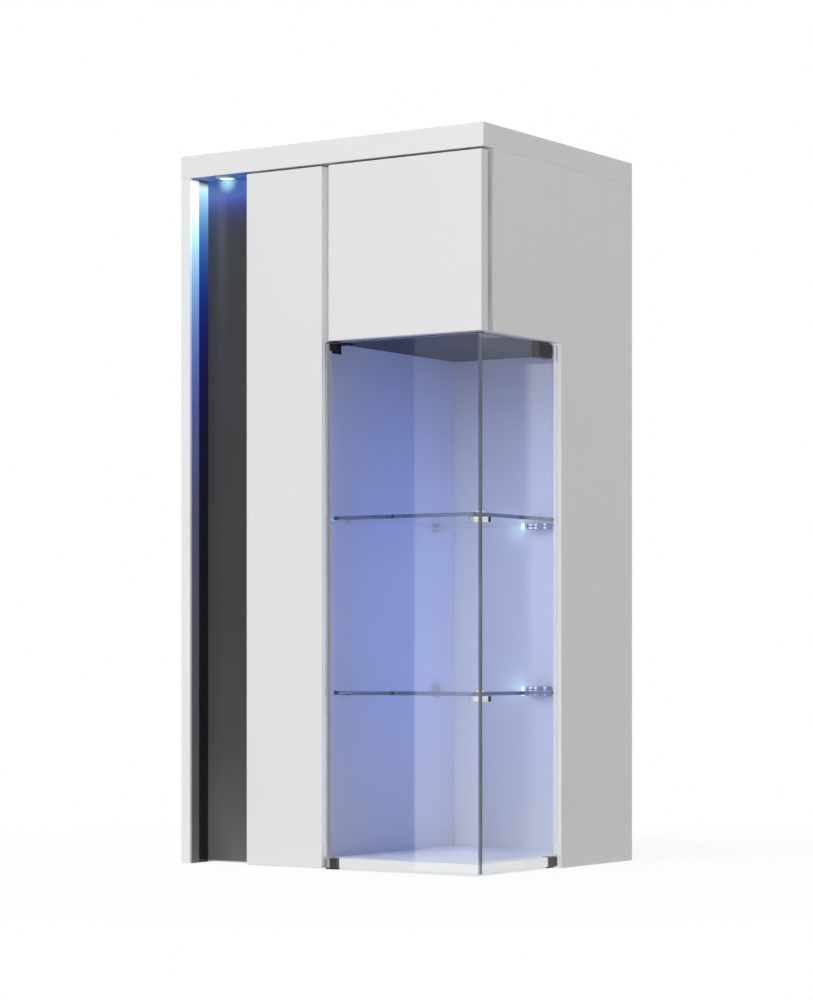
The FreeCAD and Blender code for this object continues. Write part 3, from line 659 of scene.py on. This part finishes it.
def copyNode(name, edge):
    # A CAD node's own shape, merged, with its square edges rounded
    bm = bmesh.new()
    bm.from_mesh(cadNodes[name].data)
    bmesh.ops.remove_doubles(bm, verts=bm.verts, dist=squareEdge["merge"])
    bmesh.ops.dissolve_limit(bm, angle_limit=squareEdge["level"], verts=bm.verts, edges=bm.edges)
    square = []
    for line in bm.edges:
        flats = [isFlat(face) for face in line.link_faces]
        if len(flats) == 2 and all(flats) and line.calc_face_angle(0) > squareEdge["angle"]:
            square.append(line)
    bmesh.ops.bevel(bm, geom=square, offset=edge / metre, segments=3, profile=0.5, affect="EDGES",
                    material=-1, clamp_overlap=True)
    return bm


sharpAngle = math.radians(38)  # steeper edges stay crisp


def makePiece(name, bm, finish, body, slot, *stands):
    mesh = bpy.data.meshes.new(name)
    bm.to_mesh(mesh)
    bm.free()
    mesh.materials.clear()
    mesh.materials.append(finishes[finish])
    mesh.shade_smooth()
    mesh.set_sharp_from_angle(angle=sharpAngle)
    piece = bpy.data.objects.new(name, mesh)
    scene.collection.objects.link(piece)
    steady = piece.modifiers.new("steadyNormals", "WEIGHTED_NORMAL")
    steady.keep_sharp = True
    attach(piece, body)
    if stands:
        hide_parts(*stands)
    return piece


# Shoes and brackets of the glass door
glassHinge = {
    "shoeEdge": 0.8, "bracketEdge": 0.4, "screw": (2.4, 0.7), "leafScrew": (2.4, 0.4),
    "shoeScrews": ((7.5, -185, 9.5), (7.5, -185, 716)),
    "plateScrews": ((-7.5, -159, 716), (-7.5, -169, 716)),
    "leafScrews": ((-3, -160, 0.5), (-3, -168, 0.5)),
}
bm = copyNode("glass_door_shoes", glassHinge["shoeEdge"])
for seat in glassHinge["shoeScrews"]:
    addScrewHead(bm, seat, "y", *glassHinge["screw"])
makePiece("glassDoorShoes", bm, "blackFitting", "glass_door_leaf", "black_fitting", "glass_door_shoes")
bm = copyNode("glass_door_brackets", glassHinge["bracketEdge"])
for seat in glassHinge["plateScrews"]:
    addScrewHead(bm, seat, "x", *glassHinge["screw"])
for seat in glassHinge["leafScrews"]:
    addScrewHead(bm, seat, "-z", *glassHinge["leafScrew"])
makePiece("glassDoorBrackets", bm, "blackFitting", "carcass", "black_fitting", "glass_door_brackets")

# Clamps of the side pane: a body, a pad against the glass and two screws
clamps = {
    "nodes": {"sidePaneTopClamp": "side_pane_top_clamp", "sidePaneBottomClamp": "side_pane_bottom_clamp"},
    "edge": 0.9, "pad": 1.2, "padInset": 0.6, "padEdge": 0.4,
    "screw": (2.6, 0.8), "screwShares": (0.28, 0.72),
}
for name, node in clamps["nodes"].items():
    low, high = (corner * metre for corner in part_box(node))
    padStart = high.x - clamps["pad"]
    inset = clamps["padInset"]
    bm = bmesh.new()
    addBlock(bm, low, (padStart, high.y, high.z), clamps["edge"])
    addBlock(bm, (padStart, low.y + inset, low.z + inset), high - Vector((0, inset, inset)),
             clamps["padEdge"])
    for share in clamps["screwShares"]:
        seat = (low.x, low.y + share * (high.y - low.y), (low.z + high.z) / 2)
        addScrewHead(bm, seat, "-x", *clamps["screw"])
    makePiece(name, bm, "blackFitting", "carcass", "black_fitting", node)
print("glass hardware made")

# Round corner supports under the glass shelves, cut flat at the side pane, with a button above
corners = {
    "centre": (228, -173), "flat": 241.5, "discs": (231, 470), "buttons": (235.5, 474.5),
    "disc": ((0, 0), (11.4, 0), (12.7, 0.35), (13.6, 1.1), (14, 2.1), (14, 4.1), (13.6, 4.35), (13.6, 4.65),
             (14, 4.9), (14, 7.4), (13.7, 8.3), (13, 8.85), (12, 9), (0, 9)),
    "button": ((0, 0), (3, 0), (3, 9.5), (4.5, 9.5), (4.5, 11.3), (4.25, 12.3), (3.5, 13), (2.2, 13.4),
               (0, 13.5)),
}
bm = bmesh.new()
for height in corners["discs"]:
    addTurned(bm, corners["disc"], (*corners["centre"], height), steps=48)
bmesh.ops.bisect_plane(bm, geom=bm.verts[:] + bm.edges[:] + bm.faces[:], plane_co=mm(corners["flat"], 0, 0),
                       plane_no=(1, 0, 0), clear_outer=True)
bmesh.ops.holes_fill(bm, edges=bm.edges[:], sides=0)
makePiece("shelfCornerDiscs", bm, "chrome", "carcass", "chrome", "shelf_corner_discs")
bm = bmesh.new()
for height in corners["buttons"]:
    addTurned(bm, corners["button"], (*corners["centre"], height))
makePiece("shelfCornerButtons", bm, "chrome", "carcass", "chrome", "shelf_corner_buttons")

# Clips that hold the shelves at the walls, each with a set screw below, and the small front pads
rests = {
    "edge": 0.4, "screw": (2.2, 0.8), "drop": 6.5,
    "shelves": (240, 479), "seats": ((-3.5, 89.5), (230.5, 89.5)),
}
bm = copyNode("glass_shelf_rests", rests["edge"])
for height in rests["shelves"]:
    for x, y in rests["seats"]:
        addScrewHead(bm, (x, y, height - rests["drop"]), "-z", *rests["screw"])
makePiece("glassShelfRests", bm, "restMetal", "carcass", "rest_metal", "glass_shelf_rests")

# Clip-on lights: housing, lens at the left end, and a row of lit cells along each jaw
clips = {
    "edge": 0.6, "shelves": (240, 479), "jaws": ((-3.9, -0.8), (5.8, 8.9)),
    "cells": ((119, 121.4), (124.6, 130.6), (133.4, 138.4), (149.6, 153.6)), "face": 121,
    "proud": 0.35, "sunk": 0.4, "cellEdge": 0.25,
}
bm = copyNode("shelf_light_clips", clips["edge"])
makePiece("shelfLightClips", bm, "clipHousing", "carcass", "light_housing", "shelf_light_clips")
bm = copyNode("shelf_light_lenses", clips["edge"])
makePiece("shelfLightLenses", bm, "shelfLens", "carcass", "light_lens", "shelf_light_lenses")
bm = bmesh.new()
for height in clips["shelves"]:
    for lower, upper in clips["jaws"]:
        for left, right in clips["cells"]:
            low = (left, clips["face"] - clips["proud"], height + lower)
            high = (right, clips["face"] + clips["sunk"], height + upper)
            addBlock(bm, low, high, clips["cellEdge"], segments=2)
makePiece("shelfLightCells", bm, "lightCells", "carcass", "light_lens")

# Niche light: turned bezel with a cup, and a shallow domed lens
nicheLight = {
    "centre": (-187, -181, 965.5),
    "bezel": ((0, 2), (11.1, 2), (11.1, 0.7), (11.5, 0.2), (12.3, 0), (14.4, 0.2), (15.5, 0.8), (16, 1.7),
              (16, 2.5), (13, 2.5), (13, 12.5), (0, 12.5)),
    "lens": ((0, -0.6), (4, -0.55), (7.5, -0.35), (9.7, 0.05), (10.7, 0.6), (11, 1.2), (11, 2), (0, 2)),
}
bm = bmesh.new()
addTurned(bm, nicheLight["bezel"], nicheLight["centre"], steps=48)
makePiece("nicheLightBezel", bm, "lightHousing", "carcass", "light_housing", "niche_light_bezel")
bm = bmesh.new()
addTurned(bm, nicheLight["lens"], nicheLight["centre"], steps=48)
makePiece("nicheLightLens", bm, "nicheLens", "carcass", "light_lens", "niche_light_lens")
print("shelf fittings and lights made")

# Concealed hinges of the white doors
hingeKit = {
    "cup": ((0, 0), (15.8, 0), (17, 0.4), (17.5, 1.3), (17.5, 12.5), (18.6, 12.5), (18.6, 13.1), (18.2, 13.5),
            (17, 13.5), (16.5, 13.1), (16.5, 2), (15.9, 1.3), (15, 1), (0, 1)),
    "cupFront": -197.5, "doorBack": -185,
    "wing": (16, 30), "wingHalf": 7, "wingThickness": 1, "wingEdge": 0.45,
    "pin": ((0, 0), (1.2, 0), (1.5, 0.4), (1.5, 22.6), (1.2, 23), (0, 23)), "pinY": -193, "pinLength": 23,
    "screw": (3.5, 1.5), "cupScrewOffset": 25, "plateScrewY": -141, "plateScrewOffset": 14,
    "armEdge": 0.5, "plateEdge": 0.7, "armScrew": (2.8, 0.8), "armScrewY": (-152, -131),
}
hingeSets = {
    "narrow_door": {"title": "narrowDoor", "cupX": -116, "pinX": -127.5, "plateX": -118.5, "armX": -114.5,
                    "way": "x", "heights": (62, 483.5, 905)},
    "upper_door": {"title": "upperDoor", "cupX": 228, "pinX": 239.5, "plateX": 233.5, "armX": 229.5,
                   "way": "-x", "heights": (784, 905)},
}
for door, fit in hingeSets.items():
    leaf = f"{door}_leaf"
    title = fit["title"]
    near, far = hingeKit["wing"]
    left = fit["cupX"] - hingeKit["wingHalf"]
    right = fit["cupX"] + hingeKit["wingHalf"]
    wingBack = hingeKit["doorBack"] + hingeKit["wingThickness"]
    cups = bmesh.new()
    pins = bmesh.new()
    cupScrews = bmesh.new()
    plateScrews = bmesh.new()
    arms = copyNode(f"{door}_hinge_arms", hingeKit["armEdge"])
    plates = copyNode(f"{door}_hinge_plates", hingeKit["plateEdge"])
    for height in fit["heights"]:
        addTurned(cups, hingeKit["cup"], (fit["cupX"], hingeKit["cupFront"], height), "y", steps=48)
        for low, high in ((-far, -near), (near, far)):
            addBlock(cups, (left, hingeKit["doorBack"], height + low), (right, wingBack, height + high),
                     hingeKit["wingEdge"])
        pinFoot = height - hingeKit["pinLength"] / 2
        addTurned(pins, hingeKit["pin"], (fit["pinX"], hingeKit["pinY"], pinFoot), steps=16)
        for sign in (-1, 1):
            cupSeat = (fit["cupX"], wingBack, height + sign * hingeKit["cupScrewOffset"])
            addScrewHead(cupScrews, cupSeat, "y", *hingeKit["screw"])
            plateSeat = (fit["plateX"], hingeKit["plateScrewY"], height + sign * hingeKit["plateScrewOffset"])
            addScrewHead(plateScrews, plateSeat, fit["way"], *hingeKit["screw"])
        for y in hingeKit["armScrewY"]:
            addScrewHead(arms, (fit["armX"], y, height), fit["way"], *hingeKit["armScrew"])
    makePiece(f"{title}HingeCups", cups, "nickelSteel", leaf, "nickel_steel", f"{door}_hinge_cups")
    makePiece(f"{title}HingePins", pins, "brightSteel", leaf, "bright_steel", f"{door}_hinge_pins")
    makePiece(f"{title}CupScrews", cupScrews, "brightSteel", leaf, "bright_steel", f"{door}_hinge_cup_screws")
    makePiece(f"{title}HingeArms", arms, "nickelSteel", "carcass", "nickel_steel", f"{door}_hinge_arms")
    makePiece(f"{title}HingePlates", plates, "nickelSteel", "carcass", "nickel_steel", f"{door}_hinge_plates")
    makePiece(f"{title}PlateScrews", plateScrews, "brightSteel", "carcass", "bright_steel",
              f"{door}_hinge_plate_screws")

# Pins under the cupboard shelves: shank, collar and rounded nose
shelfPins = {
    "pin": ((0, 0), (2.2, 0), (2.5, 0.4), (2.5, 8), (3.5, 8), (3.7, 8.3), (3.7, 9), (3.4, 9.3), (2.5, 9.3),
            (2.5, 13.8), (2, 14.6), (1.1, 15), (0, 15)),
    "rows": (-131, 94), "levels": (297.5, 627.5), "sides": ((-129.5, "x"), (-17.5, "-x")),
}
bm = bmesh.new()
for level in shelfPins["levels"]:
    for y in shelfPins["rows"]:
        for x, axis in shelfPins["sides"]:
            addTurned(bm, shelfPins["pin"], (x, y, level), axis, steps=20)
makePiece("cupboardShelfPins", bm, "nickelSteel", "carcass", "nickel_steel", "cupboard_shelf_pins")

# Plugs over the screw access holes
plugs = {
    "places": ((192.5, 142, 928), (-73.5, 142, 928)),
    "cap": ((0, 0), (8.4, 0), (8.9, 0.5), (8.9, 3), (11.8, 3), (12, 3.3), (11.6, 3.9), (9.5, 4.35),
            (5, 4.5), (0, 4.5)),
}
bm = bmesh.new()
for place in plugs["places"]:
    addTurned(bm, plugs["cap"], place, "-y", steps=40)
makePiece("accessCaps", bm, "whitePlastic", "carcass", "white_plastic", "access_caps")
print("hinges, pins and plugs made")

# Studio: white to the camera and in gloss, softer as a light
studio = {
    "sky": 0.88, "zenith": 0.4, "skyTurn": 0.45,
    "dimWay": (0.82, -0.57, 0.0), "dimRange": (0.1, 0.85), "dimmed": 0.08,
    "floorSize": 60.0, "floorColour": (0.95, 0.95, 0.95), "floorRoughness": 0.9, "floorBounce": 0.46,
    "floorShow": 0.9, "shadowReach": 1.1,
}


def seenDirectly(tree):
    # 1 for rays of the camera, of gloss and through glass
    path = addNode(tree, "ShaderNodeLightPath").outputs
    shown = addMath(tree, "MAXIMUM", path["Is Camera Ray"], path["Is Glossy Ray"])
    return addMath(tree, "MAXIMUM", shown, path["Is Transmission Ray"])


def addFlat(name, *quads):
    # U runs from the first corner to the second
    bm = bmesh.new()
    across = bm.loops.layers.uv.new("UVMap")
    for corners in quads:
        face = bm.faces.new([bm.verts.new(corner) for corner in corners])
        for loop, share in zip(face.loops, (0.0, 1.0, 1.0, 0.0)):
            loop[across].uv = (share, 0.0)
    mesh = bpy.data.meshes.new(name)
    bm.to_mesh(mesh)
    bm.free()
    flat = bpy.data.objects.new(name, mesh)
    scene.collection.objects.link(flat)
    return flat


world = bpy.data.worlds.new("studioWorld")
world.use_nodes = True
tree = world.node_tree
tree.nodes.clear()
way = addNode(tree, "ShaderNodeTexCoord").outputs["Generated"]
climb = addNode(tree, "ShaderNodeSeparateXYZ", {0: way}).outputs["Z"]
level = spread(tree, climb, studio["skyTurn"], 1.0, ends=(studio["sky"], studio["zenith"]))
aside = addNode(tree, "ShaderNodeVectorMath", {
    0: way, 1: studio["dimWay"]}, operation="DOT_PRODUCT").outputs["Value"]
dim = spread(tree, aside, *studio["dimRange"], ends=(1.0, studio["dimmed"]))
level = addMath(tree, "MULTIPLY", level, dim)
soft = addNode(tree, "ShaderNodeBackground", {"Color": white, "Strength": level}).outputs[0]
bright = addNode(tree, "ShaderNodeBackground", {"Color": white, "Strength": 1.0}).outputs[0]
mixed = addNode(tree, "ShaderNodeMixShader", {0: seenDirectly(tree), 1: soft, 2: bright}).outputs[0]
addNode(tree, "ShaderNodeOutputWorld", {"Surface": mixed})
scene.world = world

half = studio["floorSize"] / 2
floor = addFlat("studioFloor", ((-half, -half, 0), (half, -half, 0), (half, half, 0), (-half, half, 0)))
floorFinish, tree, shader = newMaterial("paleFloor")
shader.inputs["Base Color"].default_value = opaque(studio["floorColour"])
shader.inputs["Roughness"].default_value = studio["floorRoughness"]
shader.inputs["Specular IOR Level"].default_value = 0.0
glow = addNode(tree, "ShaderNodeEmission", {"Color": white, "Strength": 1.0}).outputs[0]
place = addNode(tree, "ShaderNodeTexCoord").outputs["Object"]
away = addNode(tree, "ShaderNodeVectorMath", {0: place}, operation="LENGTH").outputs["Value"]
plain = spread(tree, away, studio["shadowReach"] / 2, studio["shadowReach"], ends=(studio["floorShow"], 1.0))
share = addMath(tree, "MULTIPLY", seenDirectly(tree), plain)
shown = addNode(tree, "ShaderNodeMixShader", {0: share, 1: shader.outputs[0], 2: glow}).outputs[0]
even = addNode(tree, "ShaderNodeEmission", {"Color": white, "Strength": studio["floorBounce"]}).outputs[0]
bounced = addNode(tree, "ShaderNodeLightPath").outputs["Is Diffuse Ray"]
laid = addNode(tree, "ShaderNodeMixShader", {0: bounced, 1: shown, 2: even}).outputs[0]
setSurface(tree, laid)
floor.data.materials.append(floorFinish)

# Soft suns, by degrees to the right of the front and degrees up. Some light or spare single boards, and
# boards that are lit alone take no shadow from other pieces
suns = {
    "keySun": {"azimuth": -10, "elevation": 65, "level": 0.22, "width": 14, "spares": ("rear_side_panel",)},
    "frontSun": {"azimuth": -16, "elevation": 19, "level": 0.56, "width": 44,
                 "spares": ("rear_side_panel", "back_panel", "niche_back_panel")},
    "panelSun": {"azimuth": 5, "elevation": 23, "level": 0.245, "width": 44, "lights": ("back_panel",)},
    "nicheSun": {"azimuth": 22, "elevation": 19, "level": 0.7, "width": 44, "lights": ("niche_back_panel",)},
    "rearSun": {"azimuth": 130, "elevation": 5, "level": 0.32, "width": 20},
    "grooveSun": {"azimuth": 90, "elevation": 0, "level": 0.42, "width": 4,
                  "alone": ("narrow_door", "display_floor")},
    "edgeSun": {"azimuth": -20, "elevation": 0, "level": 0.55, "width": 4, "alone": ("rear_side_panel",)},
    "seamSun": {"azimuth": -20, "elevation": 0, "level": 0.15, "width": 4,
                "alone": ("display_partition", "upper_side_panel")},
}
# Shelf lights and niche light, their wash over the display's wall, and a lamp at the niche's foot
lamps = {
    "upperShelfLamp": {"place": (0.1118, 0.127, 0.481), "aim": (0.0, 0.05, 0.42), "size": (0.012, 0.012),
                       "power": 0.011, "colour": (0.4, 0.7, 1.0)},
    "lowerShelfLamp": {"place": (0.1118, 0.127, 0.243), "aim": (0.0, 0.05, 0.30), "size": (0.012, 0.012),
                       "power": 0.011, "colour": (0.4, 0.7, 1.0)},
    "upperShelfGlow": {"place": (0.108, 0.1165, 0.479), "aim": (0.104, 0.139, 0.476), "size": (0.012, 0.014),
                       "power": 0.0006, "colour": (0.62, 0.9, 1.0)},
    "lowerShelfGlow": {"place": (0.108, 0.1165, 0.2455), "aim": (0.104, 0.139, 0.2485),
                       "size": (0.012, 0.014), "power": 0.0006, "colour": (0.62, 0.9, 1.0)},
    "nicheLamp": {"place": (-0.187, -0.181, 0.9645), "aim": (-0.187, -0.181, 0.5), "size": (0.016, 0.016),
                  "power": 0.012, "colour": (0.05, 0.15, 1.0)},
    "washLamp": {"place": (0.225, -0.04, 0.39), "aim": (-1.0, -0.04, 0.39), "size": (0.25, 0.62),
                 "power": 0.57, "colour": (0.03, 0.15, 1.0), "spares": ("narrow_door",)},
    "footLamp": {"place": (-0.19, -0.3, 0.02), "aim": (-0.19, -0.16, 0.12), "size": (0.08, 0.03),
                 "power": 0.2, "colour": (1.0, 1.0, 1.0), "lights": ("niche_back_panel",)},
}


def placeLamp(name, data, place, towards):
    lamp = bpy.data.objects.new(name, data)
    lamp.location = place
    lamp.rotation_euler = Vector(towards).to_track_quat("-Z", "Y").to_euler()
    for ray in ("camera", "glossy", "transmission"):
        setattr(lamp, f"visible_{ray}", False)
    scene.collection.objects.link(lamp)
    return lamp


def linkBoards(lamp, look):
    for key, state in (("alone", "INCLUDE"), ("lights", "INCLUDE"), ("spares", "EXCLUDE")):
        if key in look:
            boards = bpy.data.collections.new(f"{lamp.name}Boards")
            for node in look[key]:
                boards.objects.link(cadNodes[node])
            for item in boards.collection_objects:
                item.light_linking.link_state = state
            lamp.light_linking.receiver_collection = boards
            if key == "alone":
                lamp.light_linking.blocker_collection = boards


for name, sun in suns.items():
    data = bpy.data.lights.new(name, "SUN")
    data.energy = sun["level"] * math.pi
    data.angle = math.radians(sun["width"])
    turn, climb = math.radians(sun["azimuth"]), math.radians(sun["elevation"])
    towards = (-math.sin(turn) * math.cos(climb), math.cos(turn) * math.cos(climb), -math.sin(climb))
    linkBoards(placeLamp(name, data, (0, 0, 3), towards), sun)
for name, look in lamps.items():
    data = bpy.data.lights.new(name, "AREA")
    data.shape = "RECTANGLE"
    data.size, data.size_y = look["size"]
    data.energy = look["power"]
    data.color = look["colour"]
    towards = Vector(look["aim"]) - Vector(look["place"])
    linkBoards(placeLamp(name, data, look["place"], towards), look)

# Cards that only the glass and other gloss mirror, upright and on along the floor to the near ends.
# Strength at the foot, its rise by height and its most; the left card is black and one fades out across
cards = {
    "leftCard": {"ends": ((-0.7385, -1.538), (-2.9, -1.2)), "near": ((0.019, -0.387), (-1.917, -0.387)),
                 "lift": 0.003, "top": 2.5, "foot": 0.0, "rise": 0.0, "most": 1.0},
    "frontCard": {"ends": ((-0.45, -1.583), (-0.7385, -1.538)), "near": ((0.356, -0.22), (0.129, -0.22)),
                  "lift": 0.003, "top": 0.92, "foot": 1.82, "rise": -1.6, "most": 2.0},
    "sideCard": {"ends": ((1.1, 1.51), (1.6, 1.51)), "near": ((0.377, 0.266), (0.377, -0.287)),
                 "lift": 0.003, "top": 0.93, "foot": 0.22, "rise": 0.25, "most": 1.0},
    "rearCard": {"ends": ((1.1, 1.5), (1.222, 1.5)), "near": ((0.377, 0.259), (0.377, 0.107)),
                 "lift": 0.004, "top": 0.87, "foot": 0.52, "rise": 0.9, "most": 1.2, "fade": (0.9, 0.71)},
}
cardRays = {
    "edgeDepth": 2.5, "edgeStrength": 0.5,  # rays that come by way of a pane's edge
    "mirrorDepth": 0.5,  # rays that come straight through a pane don't show the card
}
for name, look in cards.items():
    first, second = look["ends"]
    closeFirst, closeSecond = look["near"]
    lift, top = look["lift"], look["top"]
    upright = ((*first, lift), (*second, lift), (*second, top), (*first, top))
    lying = ((*closeFirst, lift), (*closeSecond, lift), (*second, lift), (*first, lift))
    card = addFlat(name, upright, lying)
    cardFinish, tree, shader = newMaterial(name)
    tree.nodes.remove(shader)
    spots = addNode(tree, "ShaderNodeTexCoord").outputs
    place = addNode(tree, "ShaderNodeSeparateXYZ", {0: spots["Object"]}).outputs
    slope = addMath(tree, "ADD", addMath(tree, "MULTIPLY", place["Z"], look["rise"]), look["foot"])
    strength = addNode(tree, "ShaderNodeClamp", {"Value": slope, "Max": look["most"]}).outputs[0]
    path = addNode(tree, "ShaderNodeLightPath").outputs
    deep = addMath(tree, "GREATER_THAN", path["Transmission Depth"], cardRays["edgeDepth"])
    strength = addNode(tree, "ShaderNodeMix", {0: deep, 2: strength, 3: cardRays["edgeStrength"]}).outputs[0]
    lit = addNode(tree, "ShaderNodeEmission", {"Color": white, "Strength": strength}).outputs[0]
    mirrored = addMath(tree, "GREATER_THAN", path["Glossy Depth"], cardRays["mirrorDepth"])
    if "fade" in look:
        across = addNode(tree, "ShaderNodeSeparateXYZ", {0: spots["UV"]}).outputs["X"]
        mirrored = addMath(tree, "MULTIPLY", mirrored, spread(tree, across, *look["fade"]))
    clear = addNode(tree, "ShaderNodeBsdfTransparent").outputs[0]
    shown = addNode(tree, "ShaderNodeMixShader", {0: mirrored, 1: clear, 2: lit}).outputs[0]
    setSurface(tree, shown)
    card.data.materials.append(cardFinish)
    for ray in ("camera", "diffuse", "shadow", "volume_scatter"):
        setattr(card, f"visible_{ray}", False)
print("studio lit")
